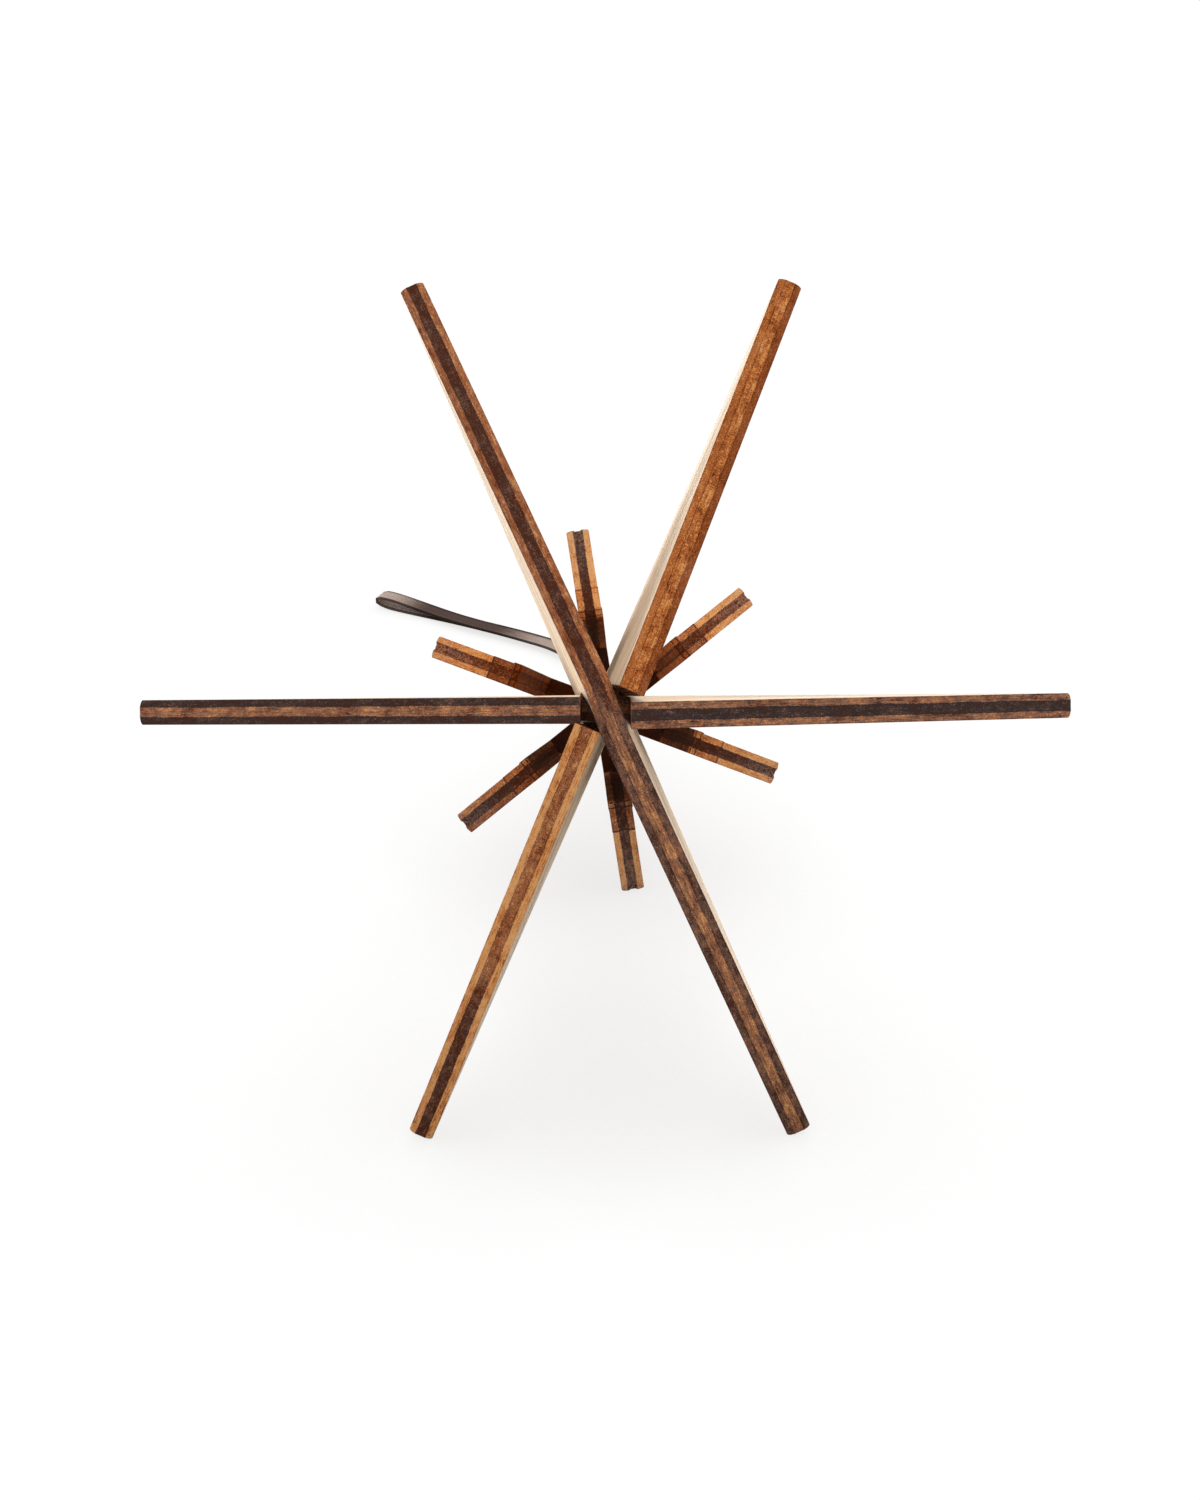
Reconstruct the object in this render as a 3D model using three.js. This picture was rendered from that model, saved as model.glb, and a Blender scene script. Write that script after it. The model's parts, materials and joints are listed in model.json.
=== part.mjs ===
// Wooden bauble: three square plywood panels and a pronged plywood cap, slotted together on one long axis,
// with a narrow satin ribbon tied through the cap's tab.
// Lengths are in millimetres and +Z is up. The bauble lies on its side, as it is put down on a table.
//
// Board positions are given as (r, s): r across the board from the long axis, and s along that axis
// from the point at the bottom of the hanging bauble towards the ribbon at its top.

import * as THREE from 'three';

// Driving dimensions
const SHEET = 3; // thickness of the plywood
const WING_SIDE = 80; // side of each square wing panel
const SLOT_PLAY = 0.4; // spare width of every slot
const JOINT_GAP = 0.3; // gap between boards that meet end to end on the axis
const WING_GAP = 0.3; // gap between a cap prong and the wing beside it

const CAP_SIDE = 34.4; // side of the small square that each cap panel is cut from
const PRONG_REACH = 53.4; // how far the cap's prongs reach over the wings
const PRONG_SPLAY = 3; // how much further out a prong's tip is than its root
const PRONG_TIP = 1.2; // width of a prong's blunt tip
const SHOULDER_WIDTH = 3.5; // sloped shoulder outside each prong
const SHOULDER_STEP = 11; // straight step between the shoulder and the small square's edge

const TAB_RADIUS = 4.6; // half width and rounded end of the hanging tab
const TAB_REACH = 5.2; // from the top of the slotted cap panels to the centre of the hanging hole
const HOLE_RADIUS = 2; // hanging hole

const RIBBON_WIDTH = 2.6;
const RIBBON_THICK = 0.4;
const RIBBON_GAP = 0.3; // gap between the ribbon and what it meets
const KNOT_RADIUS = 2.2;
const KNOT_WAIST = 1.9; // radius between the knot's two bands
const KNOT_NECK = 1.4; // radius at the knot's ends
const KNOT_LENGTH = 5.4;
const KNOT_REACH = 9.5; // along the axis from the tab's rounded end to where the ribbon enters the knot
const KNOT_STRAND_OFFSET = 0.7; // how far each strand enters the knot from its middle
const KNOT_SIDES = 16;
const SLING_STEPS = 24;
const LOOP_STEPS = 56;
const UPRIGHT = 0.05; // a path whose level run is under this share of its length counts as upright

// Angles of the boards about the long axis, in degrees, seen from the hanging end.
// third is the third of the shared axis where a board is whole; its slots leave the other two thirds free.
// spring is how far the tight slots push the free end of a board's legs sideways, in sheet thicknesses.
const WINGS = [
  { name: 'wing_panel_front', angle: 66.3, third: 0, spring: 0.44 },
  { name: 'wing_panel_middle', angle: 0, third: 1, spring: 0.11 },
  { name: 'wing_panel_rear', angle: 113.3, third: 2, spring: 0.5 },
];
const CAPS = [
  { name: 'cap_panel_low', angle: 81.6, third: 0 },
  { name: 'cap_panel_mid', angle: 141.5, third: 1 },
  { name: 'cap_panel_tab', angle: 20.9, third: 2 },
];
const CROSSING_ANGLE = THREE.MathUtils.degToRad(60);

const FACE_WOOD = new THREE.MeshStandardMaterial({ color: 0x8a5a34, roughness: 0.7, metalness: 0 });
const CAP_WOOD = new THREE.MeshStandardMaterial({ color: 0x96602f, roughness: 0.7, metalness: 0 });
const BROWN_SATIN = new THREE.MeshStandardMaterial({ color: 0x2c1d18, roughness: 0.45, metalness: 0 });

// The ribbon's loop as it lies on the table, from the knot's middle: out to its far fold and back on top of itself
const LOOP_ROUTE = [
  [0, 3.6, -0.8], [0, 6, -1.5], [-0.1, 8.8, -1.95], [-0.4, 11.8, -2.2], [-0.9, 15.2, -2.2],
  [-1.9, 18.9, -2.2], [-3.6, 22.6, -2.2], [-6.2, 26, -2.2], [-9.6, 28.6, -2.2], [-13.3, 31, -2.2],
  [-17.5, 33.5, -2.2], [-21.3, 35.7, -2.2], [-25, 37.7, -2.2], [-28.8, 39.75, -2.2], [-31, 40.9, -2.1],
  [-32.4, 41.62, -1.75], [-32.9, 41.88, -1.25], [-32.3, 41.57, -0.78], [-30.7, 40.74, -0.78],
  [-28.6, 39.65, -1.05], [-25.3, 37.5, -1.35], [-22.1, 35.1, -1.45], [-18.4, 32.6, -1.5], [-14.1, 29.9, -1.5],
  [-10.4, 27.4, -1.5], [-7, 24.9, -1.5], [-4.3, 21.8, -1.5], [-2.4, 18.3, -1.45], [-1.1, 14.8, -1.2],
  [-0.4, 11.6, -0.6], [-0.1, 8.8, 0.2], [0, 6, 0.6], [0, 3.6, 0.7],
];

// Sizes that follow from the driving dimensions
const wingRadius = WING_SIDE / Math.SQRT2;
const wingHeight = 2 * wingRadius;
const slotHalf = (SHEET / Math.sin(CROSSING_ANGLE) + SHEET / Math.tan(CROSSING_ANGLE) + SLOT_PLAY) / 2;

// The stretch of a shared axis where a board is whole, with half the joint gap at each inner end
function wholeStretch(start, length, third) {
  const from = start + (length * third) / 3 + (third > 0 ? JOINT_GAP / 2 : 0);
  const to = start + (length * (third + 1)) / 3 - (third < 2 ? JOINT_GAP / 2 : 0);
  return { from, to };
}

// How far a wing's legs lean sideways for each millimetre along the axis, and the place where they don't
function wingLean(wing) {
  const whole = wholeStretch(0, wingHeight, wing.third);
  const pivot = (whole.from + whole.to) / 2;
  const lever = Math.max(pivot, wingHeight - pivot);
  return { pivot, slope: (wing.spring * SHEET) / lever };
}

// Sideways shift of a wing at (r, s): its two legs lean opposite ways, and its whole stretch twists between them
function wingShift(wing, r, s) {
  const { pivot, slope } = wingLean(wing);
  const share = THREE.MathUtils.clamp(r / slotHalf, -1, 1);
  return -slope * (s - pivot) * share;
}

// A board made of flat cells that share corners, shifted sideways corner by corner, as one closed solid.
// Each cell is a loop of [r, s] corners, counterclockwise, whose first corner sees all the others.
function shiftedBoard(cells, shift) {
  const corners = [];
  const indexOf = new Map();
  const cornerIndex = (corner) => {
    const key = corner.join(' ');
    if (!indexOf.has(key)) {
      indexOf.set(key, corners.length);
      corners.push(corner);
    }
    return indexOf.get(key);
  };
  const loops = cells.map((cell) => cell.map(cornerIndex));

  const far = corners.length;
  const position = [];
  for (const side of [-1, 1]) {
    for (const [r, s] of corners) {
      position.push(r, shift(r, s) + (side * SHEET) / 2, s);
    }
  }

  const index = [];
  const edges = new Map();
  for (const loop of loops) {
    for (let i = 1; i < loop.length - 1; i += 1) {
      const [a, b, c] = [loop[0], loop[i], loop[i + 1]];
      index.push(a, b, c, far + a, far + c, far + b);
    }
    loop.forEach((a, i) => edges.set(`${a} ${loop[(i + 1) % loop.length]}`, [a, loop[(i + 1) % loop.length]]));
  }
  for (const [a, b] of edges.values()) {
    if (!edges.has(`${b} ${a}`)) {
      index.push(b, a, far + a, b, far + a, far + b);
    }
  }

  const geometry = new THREE.BufferGeometry();
  geometry.setAttribute('position', new THREE.Float32BufferAttribute(position, 3));
  geometry.setIndex(index);
  geometry.computeVertexNormals();
  return geometry;
}

// A square panel on its diagonal: two triangular legs joined on the axis where the panel is whole
function wingGeometry(wing) {
  const whole = wholeStretch(0, wingHeight, wing.third);
  const frontCut = slotHalf;
  const rearCut = wingHeight - slotHalf;
  const wholeFrom = wing.third === 0 ? frontCut : whole.from;
  const wholeTo = wing.third === 2 ? rearCut : whole.to;
  const stations = [...new Set([frontCut, wholeFrom, wholeTo, rearCut])];

  const rightLeg = [[wingRadius, wingRadius], ...stations.toReversed().map((s) => [slotHalf, s])];
  const leftLeg = [[-wingRadius, wingRadius], ...stations.map((s) => [-slotHalf, s])];
  const bridge = [[-slotHalf, wholeFrom]];
  if (wing.third === 0) {
    bridge.push([0, 0]);
  }
  bridge.push([slotHalf, wholeFrom], [slotHalf, wholeTo]);
  if (wing.third === 2) {
    bridge.push([0, wingHeight]);
  }
  bridge.push([-slotHalf, wholeTo]);
  return shiftedBoard([rightLeg, leftLeg, bridge], (r, s) => wingShift(wing, r, s));
}

// Smallest radius at which a cap prong clears every wing at station s
function clearRadius(s) {
  let clear = 0;
  for (const cap of CAPS) {
    for (const wing of WINGS) {
      const apart = THREE.MathUtils.degToRad(THREE.MathUtils.euclideanModulo(cap.angle - wing.angle, 180));
      const towards = apart < Math.PI / 2 ? 1 : -1;
      const between = Math.min(apart, Math.PI - apart);
      const shift = towards * wingShift(wing, wingRadius, s);
      const room = (SHEET / 2) * (1 + Math.cos(between)) + WING_GAP + shift;
      clear = Math.max(clear, room / Math.sin(between));
    }
  }
  return clear;
}

// Stations and radii of the cap, whose crossing starts just behind the wings' rear points
const mouth = wingHeight + JOINT_GAP;
const capRadius = CAP_SIDE / Math.SQRT2;
const capTop = mouth + capRadius - slotHalf;
const prongTip = mouth - PRONG_REACH;
const prongRoot = clearRadius(wingHeight - clearRadius(wingHeight));
const prongOuter = prongRoot + PRONG_SPLAY + PRONG_TIP;
const shoulderRadius = prongOuter + SHOULDER_WIDTH;
const edgeStart = mouth - (capRadius - shoulderRadius);
const shoulderStation = edgeStart - SHOULDER_STEP;
const holeStation = capTop + TAB_REACH;

// One side of a cap panel, from the mouth round the prong and the shoulder to the small square's widest corner
const capOutline = [
  [prongRoot, mouth],
  [prongRoot + PRONG_SPLAY, prongTip],
  [prongOuter, prongTip],
  [prongOuter, shoulderStation - SHOULDER_WIDTH],
  [shoulderRadius, shoulderStation],
  [shoulderRadius, edgeStart],
  [capRadius, mouth],
];

// A pronged cap panel: slotted from the mouth, from the top or from both, and with a tab if it is whole at the top
function capGeometry(cap) {
  const whole = wholeStretch(mouth, capRadius, cap.third);
  const lowerSlot = [[slotHalf, whole.from], [slotHalf, mouth]];
  const upperSlot = [[slotHalf, capTop], [slotHalf, whole.to]];
  const tabFoot = [[TAB_RADIUS, mouth + capRadius - TAB_RADIUS]];
  const side = [
    ...(cap.third > 0 ? lowerSlot : []),
    ...capOutline,
    ...(cap.third < 2 ? upperSlot : tabFoot),
  ];

  const shape = new THREE.Shape();
  shape.moveTo(...side[0]);
  side.slice(1).forEach(([r, s]) => shape.lineTo(r, s));
  if (cap.third === 2) {
    shape.absarc(0, holeStation, TAB_RADIUS, 0, Math.PI);
    shape.holes.push(new THREE.Path().absarc(0, holeStation, HOLE_RADIUS, 0, 2 * Math.PI, true));
  }
  side.toReversed().forEach(([r, s]) => shape.lineTo(-r, s));
  shape.closePath();

  const geometry = new THREE.ExtrudeGeometry(shape, { depth: SHEET, bevelEnabled: false, curveSegments: 10 });
  geometry.translate(0, 0, -SHEET / 2);
  geometry.rotateX(Math.PI / 2);
  return geometry;
}

// A point of a turned board in the bauble's own frame
function boardPoint(board, r, sideways, s) {
  const turn = THREE.MathUtils.degToRad(board.angle);
  return new THREE.Vector3(r, sideways, s).applyAxisAngle(new THREE.Vector3(0, 0, 1), turn);
}

function boardMesh(board, geometry, material) {
  const mesh = new THREE.Mesh(geometry, material);
  mesh.name = board.name;
  mesh.rotation.z = THREE.MathUtils.degToRad(board.angle);
  return mesh;
}

// Lays the bauble down on two wing tips and the cap's lower corner, with its long axis running back along +Y
function layDown(bauble) {
  const [frontWing, , rearWing] = WINGS;
  const wingTip = (wing, face) => {
    const sideways = wingShift(wing, wingRadius, wingRadius) + (face * SHEET) / 2;
    return boardPoint(wing, wingRadius, sideways, wingRadius);
  };
  const rightFoot = wingTip(frontWing, 1);
  const leftFoot = wingTip(rearWing, -1);
  const rearFoot = boardPoint(CAPS[0], capRadius, SHEET / 2, mouth);

  const up = new THREE.Vector3().crossVectors(rearFoot.clone().sub(rightFoot), leftFoot.clone().sub(rightFoot));
  up.normalize();
  if (up.dot(rightFoot) > 0) {
    up.negate();
  }
  const back = new THREE.Vector3(0, 0, 1).projectOnPlane(up).normalize();
  const right = new THREE.Vector3().crossVectors(back, up);
  const toFloor = new THREE.Matrix4().makeBasis(right, back, up).transpose();
  bauble.quaternion.setFromRotationMatrix(toFloor);

  bauble.updateMatrixWorld(true);
  const box = new THREE.Box3().setFromObject(bauble, true);
  const middle = box.getCenter(new THREE.Vector3());
  bauble.position.set(-middle.x, -middle.y, -box.min.z);
  bauble.updateMatrixWorld(true);
}

// A ribbon's path, with frames that keep its width level, or as it was before where the path runs upright
class RibbonPath extends THREE.CatmullRomCurve3 {
  computeFrenetFrames(steps) {
    const frames = { tangents: [], normals: [], binormals: [] };
    let across = new THREE.Vector3(1, 0, 0);
    for (let i = 0; i <= steps; i += 1) {
      const tangent = this.getTangentAt(i / steps);
      const level = new THREE.Vector3(tangent.y, -tangent.x, 0);
      if (level.length() > UPRIGHT) {
        across = level.normalize().multiplyScalar(Math.sign(level.dot(across)));
      }
      frames.tangents.push(tangent);
      frames.normals.push(across);
      frames.binormals.push(new THREE.Vector3().crossVectors(tangent, across));
    }
    return frames;
  }
}

// A flat ribbon along a route
function ribbonMesh(name, route, steps) {
  const [across, thick] = [RIBBON_WIDTH / 2, RIBBON_THICK / 2];
  const edge = thick / 2;
  const section = new THREE.Shape();
  section.moveTo(across, -edge);
  section.lineTo(across, edge);
  section.lineTo(across - edge, thick);
  section.lineTo(edge - across, thick);
  section.lineTo(-across, edge);
  section.lineTo(-across, -edge);
  section.lineTo(edge - across, -thick);
  section.lineTo(across - edge, -thick);
  section.closePath();

  const geometry = new THREE.ExtrudeGeometry(section, { steps, extrudePath: new RibbonPath(route) });
  const mesh = new THREE.Mesh(geometry, BROWN_SATIN);
  mesh.name = name;
  return mesh;
}

// The ribbon's half turn through the hanging hole, in the plane across the tab, and its two strands down to the knot
function slingRoute(knotSideways, knotStation) {
  const clear = SHEET / 2 + RIBBON_GAP + RIBBON_THICK / 2;
  const tabEnd = holeStation + TAB_RADIUS;
  const strand = (side) => {
    const atTab = side * clear;
    const atKnot = knotSideways + side * KNOT_STRAND_OFFSET;
    return [
      [atKnot, knotStation],
      [(atKnot + atTab) / 2, (knotStation + tabEnd) / 2],
      [atTab, tabEnd],
      [atTab, (tabEnd + holeStation) / 2],
    ];
  };
  const turn = [60, 30, 0, -30, -60].map((degrees) => {
    const angle = THREE.MathUtils.degToRad(degrees);
    return [clear * Math.sin(angle), holeStation + clear * (1 - Math.cos(angle))];
  });
  const route = [...strand(1), ...turn, ...strand(-1).toReversed()];
  return route.map(([sideways, s]) => new THREE.Vector3(0, sideways, s));
}

// A knot of two rounded bands, lying along +Y
function knotMesh() {
  const half = KNOT_LENGTH / 2;
  const profile = [
    [0, -half],
    [KNOT_NECK, -half],
    [KNOT_RADIUS, -half / 2],
    [KNOT_WAIST, 0],
    [KNOT_RADIUS, half / 2],
    [KNOT_NECK, half],
    [0, half],
  ];
  const geometry = new THREE.LatheGeometry(profile.map(([r, y]) => new THREE.Vector2(r, y)), KNOT_SIDES);
  const mesh = new THREE.Mesh(geometry, BROWN_SATIN);
  mesh.name = 'ribbon_knot';
  return mesh;
}

// The ribbon: a sling through the tab, a knot that lies on the table behind it, and a loop
function addRibbon(part, bauble) {
  const tab = bauble.getObjectByName('cap_panel_tab');
  const station = holeStation + TAB_RADIUS + KNOT_REACH;
  const onAxis = tab.localToWorld(new THREE.Vector3(0, 0, station));
  const beside = tab.localToWorld(new THREE.Vector3(0, 1, station));
  const sideways = (onAxis.z - KNOT_RADIUS - RIBBON_GAP) / (onAxis.z - beside.z);

  const sling = ribbonMesh('ribbon_sling', slingRoute(sideways, station), SLING_STEPS);
  tab.parent.add(sling);
  sling.rotation.copy(tab.rotation);

  const knot = knotMesh();
  knot.position.lerpVectors(onAxis, beside, sideways);
  knot.position.y += KNOT_LENGTH / 2 + 2 * RIBBON_GAP;
  part.add(knot);

  const route = LOOP_ROUTE.map((point) => new THREE.Vector3(...point).add(knot.position));
  part.add(ribbonMesh('ribbon_loop', route, LOOP_STEPS));
}

const bauble = new THREE.Group();
for (const wing of WINGS) {
  bauble.add(boardMesh(wing, wingGeometry(wing), FACE_WOOD));
}
for (const cap of CAPS) {
  bauble.add(boardMesh(cap, capGeometry(cap), CAP_WOOD));
}
layDown(bauble);

const part = new THREE.Group();
part.add(bauble);
addRibbon(part, bauble);

export default part;
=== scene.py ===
"""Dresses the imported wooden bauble: scorched plywood panels, a satin ribbon and a white studio table.

A board's flat place is (r, n, s): r across the board from the long axis, n through its thickness,
and s along the axis from the bauble's point towards its ribbon.
"""

import json
import math

import bmesh
import bpy
from mathutils import Matrix, Vector

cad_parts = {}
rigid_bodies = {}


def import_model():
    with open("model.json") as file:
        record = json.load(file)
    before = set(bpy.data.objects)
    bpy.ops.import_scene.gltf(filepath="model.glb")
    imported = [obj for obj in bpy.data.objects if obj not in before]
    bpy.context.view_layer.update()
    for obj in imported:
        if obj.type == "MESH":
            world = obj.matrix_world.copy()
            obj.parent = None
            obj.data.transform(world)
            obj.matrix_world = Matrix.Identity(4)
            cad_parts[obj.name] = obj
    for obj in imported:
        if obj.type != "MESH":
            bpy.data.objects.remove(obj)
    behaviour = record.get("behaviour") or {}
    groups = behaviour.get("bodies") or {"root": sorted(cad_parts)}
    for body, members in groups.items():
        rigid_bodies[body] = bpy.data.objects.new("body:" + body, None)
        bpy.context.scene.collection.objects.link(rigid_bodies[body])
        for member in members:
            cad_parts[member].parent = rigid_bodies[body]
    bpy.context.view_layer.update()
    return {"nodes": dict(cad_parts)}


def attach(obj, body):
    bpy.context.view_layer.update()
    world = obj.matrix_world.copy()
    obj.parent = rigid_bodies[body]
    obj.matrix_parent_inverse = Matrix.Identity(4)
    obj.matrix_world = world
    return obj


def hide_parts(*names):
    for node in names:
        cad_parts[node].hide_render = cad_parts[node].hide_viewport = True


bl_info = {
    "name": "Wooden Bauble",
    "version": (1, 0, 0),
    "blender": (4, 5, 0),
    "location": "View3D > Sidebar > Bauble",
    "description": "Dresses a slotted plywood bauble and its satin ribbon on the packed solids",
    "category": "Add Mesh",
}

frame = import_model()

MM = 0.001
WHITE = (1, 1, 1, 1)
SHEET = 3 * MM
SLOT_HALF = 2.8 * MM  # half width of the slots, where a wing's legs start
STRIP = 8 * MM  # wings are cut into strips along the axis, so that they can lean
STRIPS = 14
PLY_LINE = 1.15 * MM  # extra cuts along the edges, at this depth and at half of it
PLAIN = math.radians(0.5)  # edges flatter than this are taken out of a solid's copy
OUTER_CORNER = math.radians(40)  # corners sharper than this are rounded
ARRIS_ANGLE = math.radians(32)  # edges sharper than this are worn

# The lying bauble: its point, its long axis, and the direction that lies under the axis
POINT = Vector((0, -65.16314, 71.84842)) * MM
AXIS = Vector((0, 0.8973926, -0.4412330))
UNDER = Vector((0, -0.4412330, -0.8973926))
ROLL = math.radians(0.162)

# Each wing's angle about the axis, the station its legs lean about, how much they lean, how far the
# crowded point of the bauble pushes its two free near ends aside, the way the grain of its outer
# plies runs over (r, s), and how far the laser scorched the two long runs that meet the eye:
# (outer plies, core, amber, lopsided), from 0 for golden to 1 for charred, where lopsided is how much
# more the ply on the far side of n is scorched. right_end is for the outer part of the right run.
WINGS = {
    "wing_panel_front": {
        "angle": 66.3,
        "pivot": 18.781 * MM,
        "slope": 0.0139896,
        "push": 0,
        "grain": (1, -1),
        "right": (0.8, 0.5, 0.0, 0.0),
        "left": (0.55, 1.0, 0.45, 0.04),
    },
    "wing_panel_middle": {
        "angle": 0,
        "pivot": 56.5685 * MM,
        "slope": 0.0058336,
        "push": 0.58 * MM,
        "grain": (1, 1),
        "right": (0.62, 1.05, 0.0, 0.0),
        "left": (1.05, 0.6, 0.1, 0.0),
    },
    "wing_panel_rear": {
        "angle": 113.3,
        "pivot": 94.356 * MM,
        "slope": 0.0158973,
        "push": -0.5 * MM,
        "grain": (1, 1),
        "right": (0.05, 0.54, 0.5, 0.0),
        "right_end": (0.1, 0.95, 0.4, 0.0),
        "left": (0.58, 0.42, 1.0, -0.14),
    },
}

RIGHT_END_FROM = 39 * MM  # r where right_end takes over
WING_TIP_FROM = 55 * MM  # r where a wing's charred tip begins
WING_TIP = (1.05, 1.1, 0.2, 0)
FREE_END = 38 * MM  # how far back a wing's near ends are free at the slot
FREE_SLANT = 0.345  # and how much further for each step away from the slot
FREE_FADE = 35 * MM  # length over which the push dies out

# Each cap panel's angle, a station just before the middle of the tab's hole, and how far the runs
# are scorched on either side of the axis
CAPS = {
    "cap_panel_low": {
        "angle": 81.6,
        "right": {
            "rim": (0.0, 0.9, 0.1, -0.05),
            "shoulder": (0.5, 1.0, 0.3, -0.05),
            "prong": (0.5, 1.05, 0.6, 0.1),
        },
        "left": {
            "rim": (0.06, 1.02, 0.5, 0.08),
            "shoulder": (0.15, 1.08, 0.6, 0.1),
            "prong": (0.62, 1.05, 0.8, 0.0),
        },
    },
    "cap_panel_mid": {
        "angle": 141.5,
        "right": {
            "rim": (0.5, 1.1, 0.5, -0.12),
            "shoulder": (0.62, 1.1, 0.7, -0.14),
            "prong": (0.8, 1.1, 0.8, 0.0),
        },
        "left": {
            "rim": (0.16, 0.85, 0.75, -0.06),
            "shoulder": (0.55, 0.98, 0.7, -0.12),
            "prong": (0.5, 0.72, 1.3, 0.0),
        },
    },
    "cap_panel_tab": {
        "angle": 20.9,
        "hole": 139.86 * MM,
        "right": {
            "rim": (0.12, 1.05, 0.5, 0.0),
            "shoulder": (0.32, 1.1, 0.6, 0.06),
            "prong": (0.85, 1.1, 0.8, 0.0),
        },
        "left": {
            "rim": (0.28, 0.9, 1.1, 0.04),
            "shoulder": (0.78, 1.0, 1.1, 0.0),
            "prong": (0.8, 0.92, 1.4, 0.0),
        },
    },
}

MOUTH_SCORCH_AND_SHADE = (1.2, 1.3)  # outer plies and core of the mouth between the prongs: charred, and darker still as painted shade of the deep recess
MOUTH_HALF = 9 * MM
PRONG_FROM, PRONG_TO = 7 * MM, 12 * MM  # r between which the prongs' inner runs lie
SHOULDER_END = 100 * MM  # station where the shoulders end
BEND_SCORCH = (0.45, 0.3)  # how much more the rounded bends are scorched
ASH_REACH = 2.5 * MM  # how far the ash reaches from the tips of the cap

# The ribbon, in millimetres: the knot's middle, the loop's route from it and the sling's route in the
# tab's flat place (n, s)
KNOT = Vector((-0.55028, 75.94129, 2.5)) * MM
LOOP_ROUTE = (
    (0, 3.6, -0.8), (0, 6, -1.5), (-0.1, 8.8, -1.95), (-0.4, 11.8, -2.2), (-0.9, 15.2, -2.2),
    (-1.9, 18.9, -2.2), (-3.6, 22.6, -2.2), (-6.2, 26, -2.2), (-9.6, 28.6, -2.2), (-13.3, 31, -2.2),
    (-17.5, 33.5, -2.2), (-21.3, 35.7, -2.2), (-25, 37.7, -2.2), (-28.8, 39.75, -2.2), (-31, 40.9, -2.1),
    (-32.4, 41.62, -1.75), (-32.9, 41.88, -1.25), (-32.3, 41.57, -0.78), (-30.7, 40.74, -0.78),
    (-28.6, 39.65, -1.05), (-25.3, 37.5, -1.35), (-22.1, 35.1, -1.45), (-18.4, 32.6, -1.5),
    (-14.1, 29.9, -1.5), (-10.4, 27.4, -1.5), (-7, 24.9, -1.5), (-4.3, 21.8, -1.5), (-2.4, 18.3, -1.45),
    (-1.1, 14.8, -1.2), (-0.4, 11.6, -0.6), (-0.1, 8.8, 0.2), (0, 6, 0.6), (0, 3.6, 0.7),
)
SLING_ROUTE = (
    (2.233, 154.26), (2.117, 149.51), (2, 144.76), (2, 142.46),
    (1.732, 141.16), (1, 140.428), (0, 140.16), (-1, 140.428), (-1.732, 141.16),
    (-2, 142.46), (-2, 144.76), (-0.584, 149.51), (0.833, 154.26),
)
LOOP_LENGTH, LOOP_STEPS = 0.110, 150
SLING_LENGTH, SLING_STEPS = 0.0309, 60
LOOP_PAINTED_GLEAMS = ((54 * MM, 13 * MM, 1), (87 * MM, 14 * MM, 0.85))  # painted highlights along the loop: middle, reach and share of each
KNOT_STEPS = 180
KNOT_ROUND, KNOT_LONG, KNOT_SHIFT = 1.3 * MM, 3 * MM, 0.08 * MM

# The camera, fitted to the twelve tips of the boards
CAMERA_PLACE = Vector((-0.224, -559.861, 313.358)) * MM
CAMERA_RIGHT = Vector((0.999944, -0.003994, -0.009757))
CAMERA_UP = Vector((0.010514, 0.446274, 0.894835))


def tone(red, green, blue):
    """A screen colour from 0 to 255 as the linear colour that Blender works in."""
    return tuple(
        c / 12.92 if c <= 0.04045 else ((c + 0.055) / 1.055) ** 2.4
        for c in (red / 255, green / 255, blue / 255)
    )


def length_setting(name, description, default):
    return bpy.props.FloatProperty(
        name=name, description=description, default=default, min=0, unit="LENGTH", precision=5
    )


def colour_setting(name, description, default):
    return bpy.props.FloatVectorProperty(
        name=name, description=description, default=default, min=0, max=1, subtype="COLOR"
    )


def share_setting(name, description, default):
    return bpy.props.FloatProperty(
        name=name, description=description, default=default, min=0, max=1, subtype="FACTOR"
    )


def power_setting(name, description, default):
    return bpy.props.FloatProperty(name=name, description=description, default=default, min=0, unit="POWER")


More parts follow.
